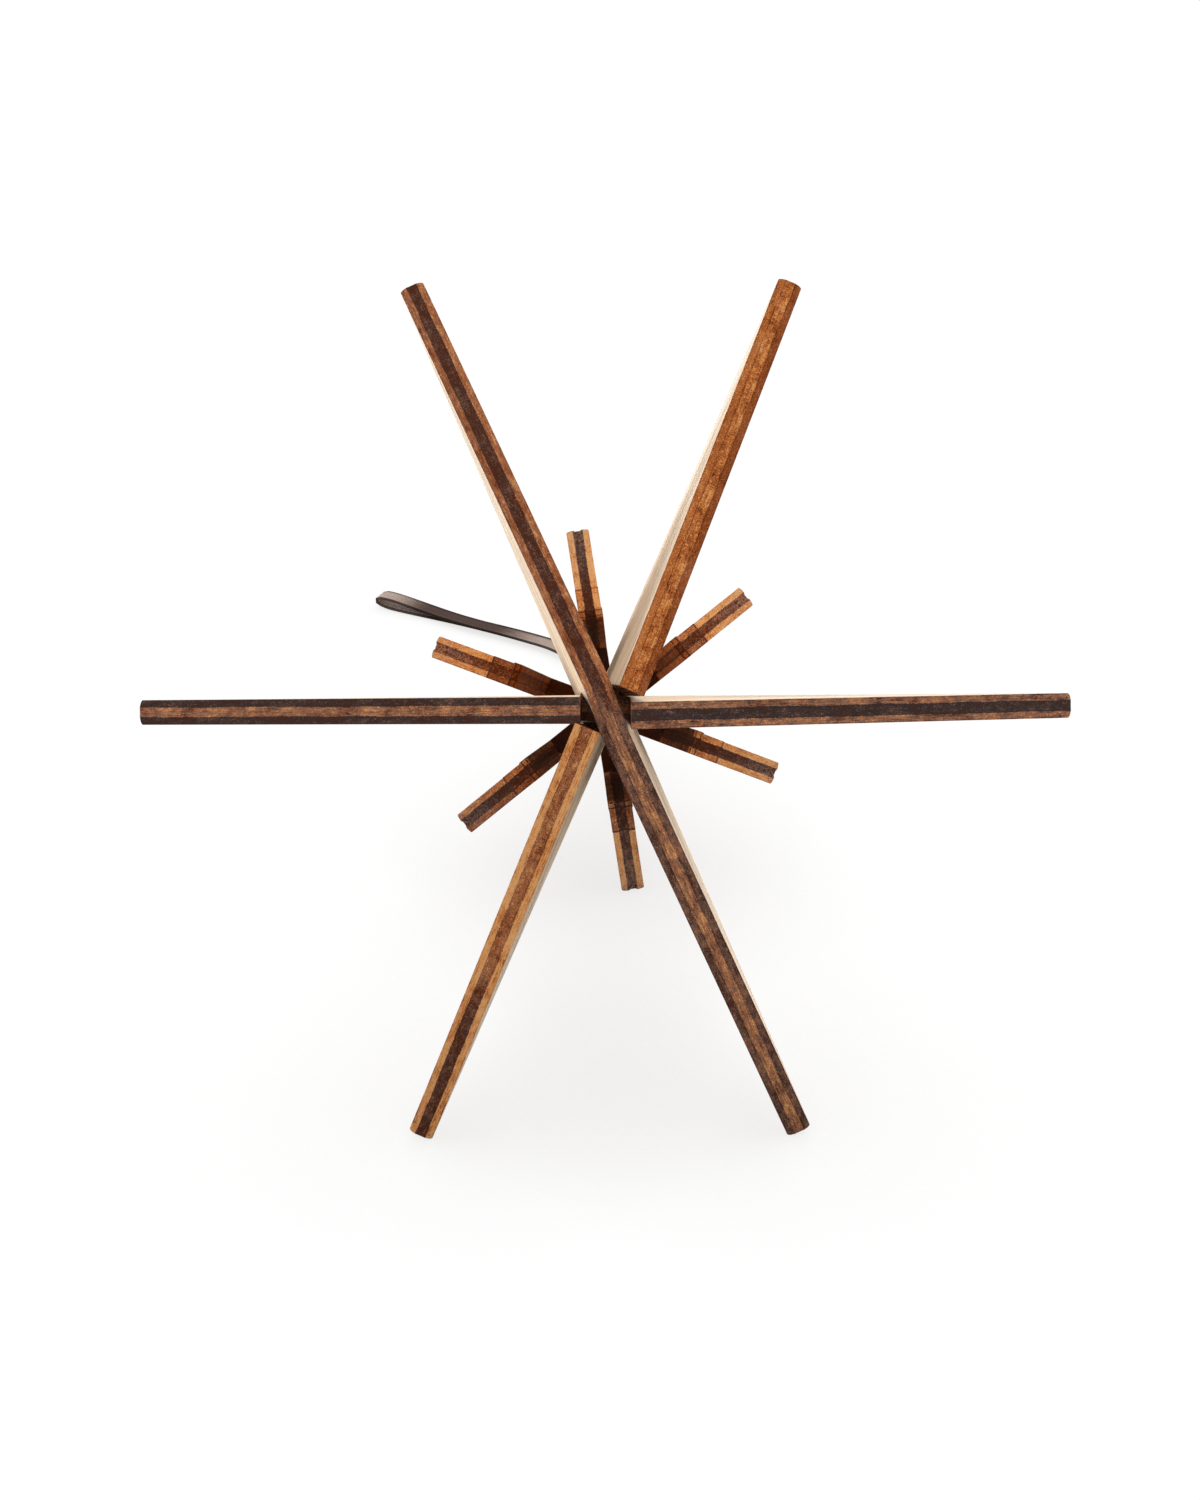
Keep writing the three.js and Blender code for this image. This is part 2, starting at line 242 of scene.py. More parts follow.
class BaubleBoardSettings(bpy.types.PropertyGroup):
    """Sizes and colours of the plywood."""

    core_half: length_setting("Core", "Half the thickness of the core ply", 0.62 * MM)
    arris: length_setting("Arris", "Width of the worn corner along every cut", 0.1 * MM)
    wing_smoke: length_setting("Wing smoke", "Width of the smoked margin of a wing's faces", 0.5 * MM)
    cap_smoke: length_setting("Cap smoke", "Width of the smoked margin of a cap panel's faces", 0.18 * MM)
    wing_hollow: length_setting("Wing hollow", "How far the core is burnt back on the wings", 0.012 * MM)
    cap_hollow: length_setting("Cap hollow", "How far the core is burnt back on the cap", 0.15 * MM)
    cap_corner: length_setting("Cap corner", "Rounding of the corners of the cap", 0.35 * MM)
    wing_wear: length_setting("Wing wear", "How far the tips of the wings are worn back", 0.3 * MM)
    cap_wear: length_setting("Cap wear", "How far the tips of the cap are worn back", 0.175 * MM)
    golden: colour_setting("Golden", "Cut that is hardly scorched", tone(214, 160, 110))
    honey: colour_setting("Honey", "Lightly scorched cut", tone(190, 132, 86))
    tan: colour_setting("Tan", "Browned cut", tone(157, 102, 68))
    brown: colour_setting("Brown", "Well browned cut", tone(131, 92, 73))
    umber: colour_setting("Umber", "Nearly charred cut", tone(96, 70, 60))
    char: colour_setting("Char", "Charred cut", tone(50, 40, 38))
    amber_light: colour_setting("Light amber", "Resin-rich cut, lightly scorched", tone(214, 147, 78))
    amber_mid: colour_setting("Amber", "Resin-rich cut, browned", tone(170, 93, 46))
    amber_dark: colour_setting("Dark amber", "Resin-rich cut, charred", tone(76, 32, 7))
    ash_colour: colour_setting("Ash", "Grey dust on the burnt tips", tone(172, 158, 148))
    veneer: colour_setting("Veneer", "Sanded face of the board", tone(252, 239, 219))
    veneer_line: colour_setting("Veneer line", "Darker grain lines of the face", tone(170, 130, 90))
    smoke_colour: colour_setting("Smoke colour", "Stain beside a cut", tone(150, 112, 80))


class BaubleRibbonSettings(bpy.types.PropertyGroup):
    """Sizes and colours of the ribbon."""

    width: length_setting("Width", "Width of the ribbon", 2.6 * MM)
    thickness: length_setting("Thickness", "Thickness of the ribbon", 0.4 * MM)
    satin: colour_setting("Satin", "Colour of the satin in the shade", tone(60, 38, 30))
    # painted highlight: the satin turns to this colour where the ribbon's painted gleam is high
    painted_sheen: colour_setting("Sheen", "Colour of the satin where it catches the light", tone(168, 148, 137))
    selvage: colour_setting("Selvage", "Colour of the woven edges", tone(28, 17, 13))


class BaubleStageSettings(bpy.types.PropertyGroup):
    """Table, light and camera."""

    table_size: length_setting("Table size", "Length of the table's sides", 3)
    table_colour: colour_setting("Table", "Colour of the table", (0.86, 0.86, 0.85))
    shadow_share: colour_setting("Shadow share", "How much of the lamps' shade is seen", (0.06, 0.06, 0.06))
    # painted shade: the table's seen glow darkens to this tone where ambient occlusion finds the bauble
    # close
    painted_under_shade: colour_setting("Under tone", "Tone of the table close under the bauble", (0.8, 0.785, 0.77))
    under_reach: length_setting("Under reach", "How far the bauble darkens the table under it", 30 * MM)
    table_lift: share_setting("Table lift", "Brightness of the table without its shade", 0.946)
    surround: share_setting("Surround", "Brightness of the light tent", 0.34)
    top_power: power_setting("Top lamp", "Power of the soft lamp above and behind", 5)
    side_power: power_setting("Side lamps", "Power of each soft lamp at the sides", 10.5)
    front_power: power_setting("Front lamp", "Power of the lamp behind the camera", 2)
    lens: bpy.props.FloatProperty(
        name="Lens", description="Focal length of the camera", default=120, min=1, unit="CAMERA"
    )


class Value:
    """A socket of a finish. Sums with other values or numbers add Math nodes."""

    def __init__(self, finish, socket):
        self.finish = finish
        self.socket = socket

    def math(self, operation, first, second):
        return self.finish.node("ShaderNodeMath", {"operation": operation}, {0: first, 1: second})

    def __add__(self, other):
        return self.math("ADD", self, other)

    def __radd__(self, other):
        return self.math("ADD", other, self)

    def __sub__(self, other):
        return self.math("SUBTRACT", self, other)

    def __rsub__(self, other):
        return self.math("SUBTRACT", other, self)

    def __mul__(self, other):
        return self.math("MULTIPLY", self, other)

    def __rmul__(self, other):
        return self.math("MULTIPLY", other, self)

    def __pow__(self, other):
        return self.math("POWER", self, other)

    def __abs__(self):
        return self.finish.node("ShaderNodeMath", {"operation": "ABSOLUTE"}, {0: self})


class Finish:
    """The nodes of a material or of the world, under construction."""

    def __init__(self, owner):
        owner.use_nodes = True
        self.owner = owner
        self.tree = owner.node_tree
        self.tree.nodes.clear()

    def node(self, kind, settings=None, sockets=None, output=0):
        """Adds a node: its settings are set first, then its sockets get values or links."""
        made = self.tree.nodes.new(kind)
        for key, value in (settings or {}).items():
            if key == "stops":
                ramp = made.color_ramp.elements
                while len(ramp) < len(value):
                    ramp.new(1)
                for element, (place, colour) in zip(ramp, value):
                    element.position = place
                    element.color = (*colour, 1)
            else:
                setattr(made, key, value)
        for key, value in (sockets or {}).items():
            if isinstance(value, Value):
                self.tree.links.new(value.socket, made.inputs[key])
            else:
                made.inputs[key].default_value = value
        return Value(self, made.outputs[output]) if made.outputs else made

    def attribute(self, name):
        return self.node("ShaderNodeAttribute", {"attribute_name": name}, output=1)

    def number(self, name):
        return self.node("ShaderNodeAttribute", {"attribute_name": name}, output=2)

    def split(self, vector):
        made = self.node("ShaderNodeSeparateXYZ", None, {0: vector}).socket.node
        return [Value(self, made.outputs[i]) for i in range(3)]

    def stretched(self, vector, scales):
        return self.node("ShaderNodeVectorMath", {"operation": "MULTIPLY"}, {0: vector, 1: scales})

    def noise(self, vector, scales, detail=3.0, roughness=0.55):
        """Cloudy noise round 0.5, with so many lumps to a millimetre each way."""
        per_metre = tuple(s / MM for s in scales)
        return self.node(
            "ShaderNodeTexNoise",
            None,
            {
                "Vector": self.stretched(vector, per_metre),
                "Scale": 1,
                "Detail": detail,
                "Roughness": roughness,
            },
        )

    def step(self, value, low, high):
        """0 below low, 1 above high and smooth between them, or the reverse if low is above high."""
        ends = (0, 1) if low < high else (1, 0)
        return self.node(
            "ShaderNodeMapRange",
            {"interpolation_type": "SMOOTHSTEP"},
            {"Value": value, 1: min(low, high), 2: max(low, high), 3: ends[0], 4: ends[1]},
        )

    def blend(self, factor, first, second):
        return self.node("ShaderNodeMix", {"data_type": "RGBA"}, {0: factor, 6: first, 7: second}, output=2)

    def surface(self, sockets, height=None, depth=0.0, strength=1.0):
        """Ends the material in its shader, with a bump where a height is given."""
        if height is not None:
            sockets["Normal"] = self.node(
                "ShaderNodeBump", None, {"Height": height, "Distance": depth, "Strength": strength}
            )
        shader = self.node("ShaderNodeBsdfPrincipled", None, sockets)
        self.node("ShaderNodeOutputMaterial", None, {0: shader})
        return self.owner


def new_finish(name):
    return Finish(bpy.data.materials.new(name))


def opaque(colour):
    return (*colour, 1)


def scorched_edge(board):
    """Laser-cut edge of three-ply board: browned and charred plies, with streaks and dark glue lines."""
    finish = new_finish("scorched_ply_edge")
    flat = finish.attribute("flat")
    run = finish.attribute("run")
    through = finish.split(flat)[2]
    outer, core, amber = finish.split(finish.attribute("scorch"))
    lopsided = finish.node("ShaderNodeAttribute", {"attribute_name": "scorch"}, output=3)

    waver = finish.noise(flat, (0.12, 0.12, 0.4)) - 0.5
    ragged = finish.noise(flat, (3.5, 3.5, 3.5), 3, 0.65) - 0.5
    place = through + waver * (0.3 * MM) + ragged * (0.35 * MM)
    depth = abs(place)
    in_core = finish.step(depth, board.core_half + 0.07 * MM, board.core_half - 0.07 * MM)
    glue = finish.step(abs(depth - board.core_half), 0.09 * MM, 0.02 * MM)
    arris = finish.step(depth, 1.3 * MM, 1.46 * MM)
    outer = outer + lopsided * (finish.step(place, -0.3 * MM, 0.3 * MM) * 2 - 1)

    long_streaks = finish.noise(flat, (0.3, 7, 7), 4, 0.6)
    cross_streaks = finish.noise(flat, (7, 0.3, 7), 4, 0.6)
    streaks = long_streaks + (cross_streaks - long_streaks) * in_core - 0.5
    clouds = finish.noise(flat, (0.22, 0.22, 0.5), 3, 0.6) - 0.5
    blotches = finish.noise(run, (0.75, 2, 1), 4, 0.65) - 0.5
    fine = finish.noise(flat, (8, 8, 8), 2, 0.6) - 0.5
    dots = finish.step(finish.noise(flat, (2.4, 2.4, 2.4), 1), 0.64, 0.72)
    flecks = finish.step(finish.noise(run, (2.2, 5, 1), 2, 0.5), 0.58, 0.68)

    level = outer + (core - outer) * in_core
    resin_core = amber * in_core
    calm = 1 - (amber - resin_core) * 0.45
    dashes = finish.step(finish.noise(run, (4.5, 1.8, 1), 2, 0.6), 0.48, 0.6) * resin_core
    play = streaks * 1.3 + clouds * 1.1 * calm + blotches * 1.3 * calm + fine * 1.6 - flecks * 0.35
    level = level + play * (1.3 - level * 0.6) + dots * 0.14 + glue * 0.26
    level = level - (dashes - resin_core * 0.4) * 0.3 + arris * (0.15 + ragged * 1.2)
    amber = amber + clouds * 1.6 + blotches * 0.6
    plain = finish.node(
        "ShaderNodeValToRGB",
        {
            "stops": [
                (0, board.golden),
                (0.2, board.honey),
                (0.4, board.tan),
                (0.6, board.brown),
                (0.8, board.umber),
                (1, board.char),
            ]
        },
        {0: level},
    )
    resin = finish.node(
        "ShaderNodeValToRGB",
        {"stops": [(0, board.amber_light), (0.4, board.amber_mid), (1, board.amber_dark)]},
        {0: level},
    )
    colour = finish.blend(finish.node("ShaderNodeClamp", None, {0: amber}), plain, resin)
    ash = finish.number("ash") * finish.step(finish.noise(flat, (2.6, 2.6, 2.6), 4, 0.7), 0.42, 0.62)
    ridges = finish.noise(flat, (4, 4, 0.3), 2)
    height = streaks + ridges + fine * 1.2 - glue * 0.4
    return finish.surface(
        {
            "Base Color": finish.blend(ash * 0.32, colour, opaque(board.ash_colour)),
            "Roughness": 0.55 + streaks * 0.4 + fine * 0.4,
            "Specular IOR Level": 0.015,
        },
        height=height,
        depth=0.05 * MM,
        strength=0.7,
    )


def sanded_veneer(board):
    """Pale sanded face of the board, with soft figure, fine fibres, short pores and a smoked margin."""
    finish = new_finish("sanded_veneer_face")
    flat = finish.attribute("flat")
    margin = finish.number("margin")

    figure = finish.noise(flat, (0.012, 0.3, 0.3), 4, 0.6)
    bands = finish.noise(flat, (0.006, 0.1, 0.1), 4, 0.65)
    lines = finish.noise(flat, (0.02, 1.3, 1), 3, 0.6)
    fibres = finish.noise(flat, (0.15, 5, 5), 4, 0.65)
    pores = finish.step(finish.noise(flat, (0.5, 7, 7), 2), 0.6, 0.7)
    cloud = finish.noise(flat, (0.05, 0.09, 0.1), 3)
    dark = finish.step(figure, 0.45, 0.7) * 0.3 + finish.step(bands, 0.46, 0.62) * 0.3
    dark = dark + finish.step(lines, 0.52, 0.62) * 0.38
    dark = dark + finish.step(fibres, 0.5, 0.72) * 0.55 + pores * 0.5
    wood = finish.blend(dark, opaque(board.veneer), opaque(board.veneer_line))
    wood = finish.blend(finish.step(cloud, 0.45, 0.75) * 0.18, wood, opaque(board.veneer_line))
    patchy = finish.noise(flat, (0.5, 0.5, 0.5), 3)
    smoke = (1 - margin) ** 1.5 * finish.step(patchy, 0.25, 0.7) * 0.55
    return finish.surface(
        {
            "Base Color": finish.blend(smoke, wood, opaque(board.smoke_colour)),
            "Roughness": 0.62 + fibres * 0.15,
            "Specular IOR Level": 0.3,
        },
        height=fibres * 0.7 - pores * 0.6,
        depth=0.03 * MM,
        strength=0.6,
    )


def satin_weave(ribbon):
    """Narrow satin ribbon: lengthwise floats with a painted sheen, fine weft and darker woven selvages."""
    finish = new_finish("brown_satin_weave")
    band = finish.attribute("band")
    across, painted_gleam = finish.split(band)[1:]
    edge = finish.step(abs(across), ribbon.width * 0.36, ribbon.width * 0.43)
    floats = finish.noise(band, (0.25, 9, 0), 3, 0.6)
    weft = finish.noise(band, (7, 0.4, 0), 2)
    # painted highlight: the satin is lighter where the painted gleam along the ribbon is high
    painted_glint = finish.step(painted_gleam + (floats - 0.5) * 0.6, 0.15, 0.95)
    body = finish.blend(painted_glint, opaque(ribbon.satin), opaque(ribbon.painted_sheen))
    shade = finish.step(weft, 0.4, 0.75) * 0.25
    body = finish.blend(shade, body, opaque(ribbon.selvage))
    return finish.surface(
        {
            "Base Color": finish.blend(edge * 0.85, body, opaque(ribbon.selvage)),
            "Roughness": 0.4 + edge * 0.25 + (floats - 0.5) * 0.2,
            "Specular IOR Level": 0.08,
        },
        height=floats + weft * 0.5 + edge * 0.8,
        depth=0.05 * MM,
        strength=0.6,
    )


def seen_directly(finish):
    """1 for the camera, for reflections and for what is seen through clear things, otherwise 0."""
    path = finish.node("ShaderNodeLightPath").socket.node
    rays = ("Is Camera Ray", "Is Glossy Ray", "Is Transmission Ray")
    camera, glossy, through = (Value(finish, path.outputs[name]) for name in rays)
    return camera + glossy + through


def white_table(stage):
    """White table, lifted to white where it is seen, that keeps the lamps' soft shade and a painted shade
    close under the bauble, taken from ambient occlusion.
    """
    finish = new_finish("white_table")
    place = finish.node("ShaderNodeTexCoord", output=3)
    grain = finish.noise(place, (0.7, 0.7, 0.7), 3, 0.6)
    bump = finish.node("ShaderNodeBump", None, {"Height": grain, "Distance": 0.2 * MM, "Strength": 0.5})
    shade = opaque(stage.shadow_share)
    shaded = finish.node("ShaderNodeBsdfDiffuse", None, {"Color": shade, "Normal": bump})
    # painted shade: ambient occlusion darkens the table's glow close under the bauble
    open_sky = finish.node(
        "ShaderNodeAmbientOcclusion", {"samples": 8}, {"Distance": stage.under_reach}, output=1
    )
    glow_with_painted_shade = finish.blend(open_sky, opaque(stage.painted_under_shade), WHITE)
    lift = finish.node("ShaderNodeEmission", None, {"Color": glow_with_painted_shade, "Strength": stage.table_lift})
    seen = finish.node("ShaderNodeAddShader", None, {0: shaded, 1: lift})
    bounce = finish.node("ShaderNodeBsdfDiffuse", None, {"Color": opaque(stage.table_colour)})
    both = finish.node("ShaderNodeMixShader", None, {0: seen_directly(finish), 1: bounce, 2: seen})
    finish.node("ShaderNodeOutputMaterial", None, {0: both})
    return finish.owner


def deselect_all():
    if bpy.context.mode != "OBJECT":
        bpy.ops.object.mode_set(mode="OBJECT")
    for thing in bpy.context.view_layer.objects:
        thing.select_set(False)


def make_active(piece):
    deselect_all()
    piece.select_set(True)
    bpy.context.view_layer.objects.active = piece


def pick(piece, kind, test):
    """Selects the faces or edges of the piece in edit mode that pass the test, and counts them."""
    bpy.ops.mesh.select_mode(type=kind.upper())
    bpy.ops.mesh.select_all(action="DESELECT")
    shape = bmesh.from_edit_mesh(piece.data)
    members = shape.faces if kind == "face" else shape.edges
    chosen = [member for member in members if test(member)]
    for member in chosen:
        member.select_set(True)
    shape.select_flush_mode()
    bmesh.update_edit_mesh(piece.data)
    return len(chosen)


def cut_through(place, direction):
    bpy.ops.mesh.select_all(action="SELECT")
    bpy.ops.mesh.bisect(plane_co=place, plane_no=direction)


def is_face_side(face):
    return abs(face.normal.y) > 0.999


def is_cut_side(face):
    return abs(face.normal.y) < 0.1


def is_outer_corner(edge):
    """Whether an edge runs through the board at a corner that stands out, away from the slots."""
    first, second = edge.verts
    through = abs(first.co.y - second.co.y) > 0.9 * SHEET and abs(first.co.x) > 2 * SLOT_HALF
    return through and edge.is_convex and edge.calc_face_angle(0) > OUTER_CORNER


def board_place(angle):
    """Where a flat board (r, n, s) sits in the bauble."""
    turn = math.radians(angle) + ROLL
    across = Vector((math.cos(turn), 0, 0)) + UNDER * math.sin(turn)
    through = Vector((-math.sin(turn), 0, 0)) + UNDER * math.cos(turn)
    place = Matrix((across, through, AXIS)).transposed().to_4x4()
    place.translation = POINT
    return place


def side_share(r):
    """-1 on a wing's left leg, 1 on its right leg, and between them across the slot."""
    return max(-1, min(1, r / SLOT_HALF))


def straighten(mesh, board):
    """Straightens the leaning legs of a wing's solid."""
    for vertex in mesh.vertices:
        lean = board["slope"] * (vertex.co.z - board["pivot"])
        vertex.co.y += lean * side_share(vertex.co.x)


def spring(mesh, board):
    """Leans a wing's two legs opposite ways, and pushes its near ends aside together."""
    for vertex in mesh.vertices:
        r, s = vertex.co.x, vertex.co.z
        free = FREE_END + (abs(r) - SLOT_HALF) * FREE_SLANT - s
        near = max(0, min(1, free / FREE_FADE))
        lean = board["slope"] * (s - board["pivot"])
        vertex.co.y += board["push"] * near - lean * side_share(r)


def wear_tips(mesh, depth):
    """Rounds the two outermost tips of a board towards its faces."""
    length, flat_half = 1.5 * MM, 0.6 * MM
    reach = max(abs(vertex.co.x) for vertex in mesh.vertices)
    for vertex in mesh.vertices:
        near = max(0, 1 - (reach - abs(vertex.co.x)) / length)
        off_middle = max(0, abs(vertex.co.y) - flat_half) / (SHEET / 2 - flat_half)
        vertex.co.x -= math.copysign(depth * near * off_middle**2, vertex.co.x)


def dress_board(node, board, settings, smoke, hollow, corner, wear, grain, scorch_of):
    """A board with worn arrises, three plies on its cut edges and a smoked margin on its faces."""
    name = node.replace("panel", "board")
    mesh = frame["nodes"][node].data.copy()
    piece = bpy.data.objects.new(name, mesh)
    bpy.context.scene.collection.objects.link(piece)
    place = board_place(board["angle"])
    mesh.transform(place.inverted())
    if "slope" in board:
        straighten(mesh, board)

    make_active(piece)
    bpy.ops.mesh.customdata_custom_splitnormals_clear()
    bpy.ops.object.mode_set(mode="EDIT")
    bpy.ops.mesh.select_all(action="SELECT")
    bpy.ops.mesh.remove_doubles(threshold=0.002 * MM)
    if "hole" in board:
        cut_through((0, 0, board["hole"]), (0, 0, 1))
        bpy.ops.mesh.mark_seam()
        bpy.ops.mesh.select_all(action="SELECT")
    bpy.ops.mesh.dissolve_limited(angle_limit=PLAIN, delimit={"SEAM"})
    bpy.ops.mesh.select_all(action="SELECT")
    bpy.ops.mesh.normals_make_consistent(inside=False)

    if corner:
        pick(piece, "edge", is_outer_corner)
        bpy.ops.mesh.bevel(offset=corner, offset_type="OFFSET", segments=3, affect="EDGES")
    pick(piece, "edge", lambda edge: edge.calc_face_angle(0) > ARRIS_ANGLE)
    bpy.ops.mesh.bevel(offset=settings.arris, offset_type="OFFSET", segments=2, affect="EDGES")
    if pick(piece, "face", is_face_side) < 2:
        raise RuntimeError(f"{name}: the board has no two faces to smoke")
    bpy.ops.mesh.inset(thickness=smoke, use_even_offset=True)

    if "slope" in board:
        for r in (-SLOT_HALF, 0, SLOT_HALF):
            cut_through((r, 0, 0), (1, 0, 0))
        for step in range(1, STRIPS):
            cut_through((0, 0, step * STRIP), (0, 0, 1))
    for share in (-1, -0.5, 0.5, 1):
        cut_through((0, share * settings.core_half, 0), (0, 1, 0))
        cut_through((0, share * PLY_LINE, 0), (0, 1, 0))
    middle = settings.core_half * 0.45
    pick(piece, "face", lambda face: is_cut_side(face) and abs(face.calc_center_median().y) < middle)
    bpy.ops.transform.shrink_fatten(value=-hollow, use_even_offset=True)
    bpy.ops.object.mode_set(mode="OBJECT")
    wear_tips(mesh, wear)

    mesh.materials.clear()
    mesh.materials.append(bpy.data.materials["sanded_veneer_face"])
    mesh.materials.append(bpy.data.materials["scorched_ply_edge"])
    mark_plies(mesh, grain, scorch_of, 1 if corner else 0)
    if "slope" in board:
        spring(mesh, board)
    mesh.transform(place)
    mesh.update()
    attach(piece, "root")
    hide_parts(node)
    return piece


def keep(mesh, name, kind, domain, values):
    """Keeps a value for every point or face corner of a mesh, as numbers, vectors or colours."""
    field = {"FLOAT": "value", "FLOAT_VECTOR": "vector", "FLOAT_COLOR": "color"}[kind]
    numbers = values if kind == "FLOAT" else [number for group in values for number in group]
    mesh.attributes.new(name, kind, domain).data.foreach_set(field, numbers)


def mark_plies(mesh, grain, scorch_of, ashen):
    """Keeps each point's place on the flat board and its cut, and how smoked, ashen and scorched it is."""
    along = Vector(grain).normalized()
    cuts = [not is_face_side(face) for face in mesh.polygons]
    mesh.polygons.foreach_set("material_index", [int(cut) for cut in cuts])
    smoked = {i for face, cut in zip(mesh.polygons, cuts) if cut for i in face.vertices}
    keep(mesh, "margin", "FLOAT", "POINT", [0 if i in smoked else 1 for i in range(len(mesh.vertices))])
    places = [vertex.co.copy() for vertex in mesh.vertices]
    reach = max(abs(place.x) for place in places)
    ash = [ashen * max(0, 1 - (reach - abs(place.x)) / ASH_REACH) for place in places]
    keep(mesh, "ash", "FLOAT", "POINT", ash)
    flat = [(along.x * r + along.y * s, along.x * s - along.y * r, n) for r, n, s in places]
    keep(mesh, "flat", "FLOAT_VECTOR", "POINT", flat)
    scorch, runs = [], []
    for face in mesh.polygons:
        out = Vector((face.normal.x, 0, face.normal.z))
        out = out.normalized() if out.length > 0.1 else Vector((0, 0, 1))
        for i in face.vertices:
            r, n, s = places[i]
            scorch.append(scorch_of(face, places[i]))
            runs.append((out.z * r - out.x * s, n, out.dot(places[i])))
    keep(mesh, "scorch", "FLOAT_COLOR", "CORNER", scorch)
    keep(mesh, "run", "FLOAT_VECTOR", "CORNER", runs)


def is_near_run(normal):
    """Whether a cut faces the bauble's point at 45 degrees, as a wing's two near runs do."""
    return normal.z < -0.5 and abs(abs(normal.x) + normal.z) < 0.3


def wing_scorch(board):
    """How scorched a wing's cut is: its two near runs are known, the others follow from the grain."""
    along = Vector((board["grain"][0], 0, board["grain"][1])).normalized()

    def scorch_of(face, point):
        normal = face.normal
        if is_near_run(normal):
            share = 0.5 + 0.5 * side_share(point.x)
            at_end = "right_end" in board and point.x > RIGHT_END_FROM
            right = board["right_end"] if at_end else board["right"]
            return tuple(low + (high - low) * share for low, high in zip(board["left"], right))
        if abs(point.x) > WING_TIP_FROM and abs(normal.x) > 0.9:
            return WING_TIP
        end_grain = abs(normal.dot(along))
        return (0.4 + 0.45 * end_grain, 0.85 - 0.33 * end_grain, 0.15, 0)

    return scorch_of


def cap_scorch(board):
    """How scorched a cap panel's cut is: charred with painted shade on top in its mouth, otherwise by its
    run and more at bends.
    """

    def scorch_of(face, point):
        centre, normal = face.center, face.normal
        side = board["right"] if centre.x > 0 else board["left"]
        # the mouth lies deep between the prongs: charred, with painted shade beyond the char
        if abs(centre.x) < MOUTH_HALF and centre.z > SHOULDER_END and normal.z < -0.9:
            return (*MOUTH_SCORCH_AND_SHADE, side["prong"][2] * 0.6, 0)
        if PRONG_FROM < abs(centre.x) < PRONG_TO and normal.x * centre.x < 0 and abs(normal.x) > 0.9:
            return side["prong"]
        outer, core, amber, lopsided = side["shoulder"] if centre.z < SHOULDER_END else side["rim"]
        if 5 < math.degrees(math.atan2(normal.z, abs(normal.x))) % 45 < 40:
            return (outer + BEND_SCORCH[0], core + BEND_SCORCH[1], amber, lopsided)
        return (outer, core, amber, lopsided)

    return scorch_of


def smooth_route(points, steps):
    """Evenly spaced points on a smooth line through the given ones."""
    line = [points[0] * 2 - points[1], *points, points[-1] * 2 - points[-2]]
    parts = 40
    dense = []
    for a, b, c, d in zip(line, line[1:], line[2:], line[3:]):
        square, cube = a * 2 - b * 5 + c * 4 - d, b * 3 - a - c * 3 + d
        for i in range(parts):
            t = i / parts
            dense.append((b * 2 + (c - a) * t + square * t**2 + cube * t**3) / 2)
    dense.append(points[-1])
    lengths = [0.0]
    for a, b in zip(dense, dense[1:]):
        lengths.append(lengths[-1] + (b - a).length)
    even, at = [], 0
    for i in range(steps + 1):
        wanted = lengths[-1] * i / steps
        while at < len(dense) - 2 and lengths[at + 1] < wanted:
            at += 1
        span = lengths[at + 1] - lengths[at]
        even.append(dense[at].lerp(dense[at + 1], (wanted - lengths[at]) / span))
    return even


def tangents_of(route, closed=False):
    count = len(route)
    if closed:
        return [(route[(i + 1) % count] - route[i - 1]).normalized() for i in range(count)]
    return [(route[min(i + 1, count - 1)] - route[max(i - 1, 0)]).normalized() for i in range(count)]


def level_across(tangents):
    """Keeps a ribbon's width level, or as it was before where the ribbon runs upright."""
    across, widths = Vector((1, 0, 0)), []
    for tangent in tangents:
        level = Vector((tangent.y, -tangent.x, 0))
        if level.length > 0.05:
            across = level.normalized() * (1 if level.dot(across) > 0 else -1)
        widths.append(across)
    return widths


def woven_band(name, route, tangents, widths, width, thickness, painted_gleam_of, closed=False):
    """A flat woven band along a route, thicker at its two selvages, as a closed mesh."""
    half, thick = width / 2, thickness / 2
    # half of the band's upper outline, in shares of half its width and half its thickness
    top = [(-1, 0.35), (-0.97, 0.85), (-0.88, 1), (-0.78, 0.72), (-0.4, 0.8), (0, 0.84)]
    upper = top + [(-x, z) for x, z in reversed(top[:-1])]
    section = upper + [(x, -z) for x, z in reversed(upper)]
    points, marks = [], []
    travelled = 0.0
    for i, (centre, tangent, across) in enumerate(zip(route, tangents, widths)):
        travelled += (centre - route[i - 1]).length if i else 0
        out = across.cross(tangent).normalized()
        for x, z in section:
            points.append(centre + across * (x * half) + out * (z * thick))
            # the third mark is the painted highlight at this length of the ribbon
            marks.append((travelled, x * half, painted_gleam_of(travelled)))
    ring, rings = len(section), len(route)
    faces = []
    for i in range(rings if closed else rings - 1):
        for j in range(ring):
            a, b = i * ring + j, i * ring + (j + 1) % ring
            c, d = (a + ring) % len(points), (b + ring) % len(points)
            faces.append((a, b, d, c))
    if not closed:
        faces.append(tuple(range(ring)))
        faces.append(tuple(reversed(range(len(points) - ring, len(points)))))
    mesh = bpy.data.meshes.new(name)
    mesh.from_pydata(points, [], faces)
    keep(mesh, "band", "FLOAT_VECTOR", "POINT", marks)
    piece = bpy.data.objects.new(name, mesh)
    bpy.context.scene.collection.objects.link(piece)
    make_active(piece)
    bpy.ops.object.mode_set(mode="EDIT")
    bpy.ops.mesh.select_all(action="SELECT")
    bpy.ops.mesh.normals_make_consistent(inside=False)
    bpy.ops.object.mode_set(mode="OBJECT")
    bpy.ops.object.shade_smooth_by_angle(angle=math.radians(50))
    mesh.materials.append(bpy.data.materials["brown_satin_weave"])
    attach(piece, "root")
    return piece


